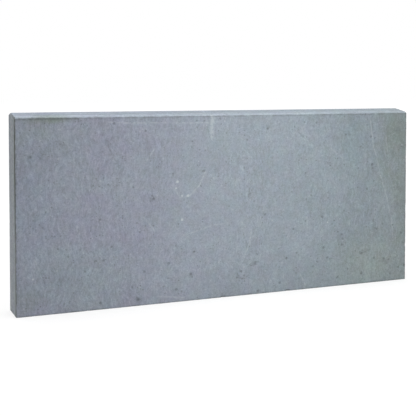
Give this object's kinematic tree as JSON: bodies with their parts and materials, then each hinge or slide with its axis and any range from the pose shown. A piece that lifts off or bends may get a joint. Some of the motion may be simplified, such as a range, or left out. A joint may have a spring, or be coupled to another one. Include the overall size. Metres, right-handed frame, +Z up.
{
  "type": "massage stone",
  "caption": "Flat rectangular slab of honed blue-grey basalt with a low ground ridge along one long edge, heated or cooled and laid on the body.",
  "frame": {"origin": "middle of the resting long edge, at its foot", "axes": "+X along the slab's length, -Y out of the honed front face, +Z up to the ridged long edge"},
  "size_m": [0.272, 0.02, 0.12],
  "materials": {
    "basalt": "honed matte, mottled blue-grey with fine pits"
  },
  "bodies": {
    "root": {"stone_slab": "basalt"}
  },
  "joints": []
}
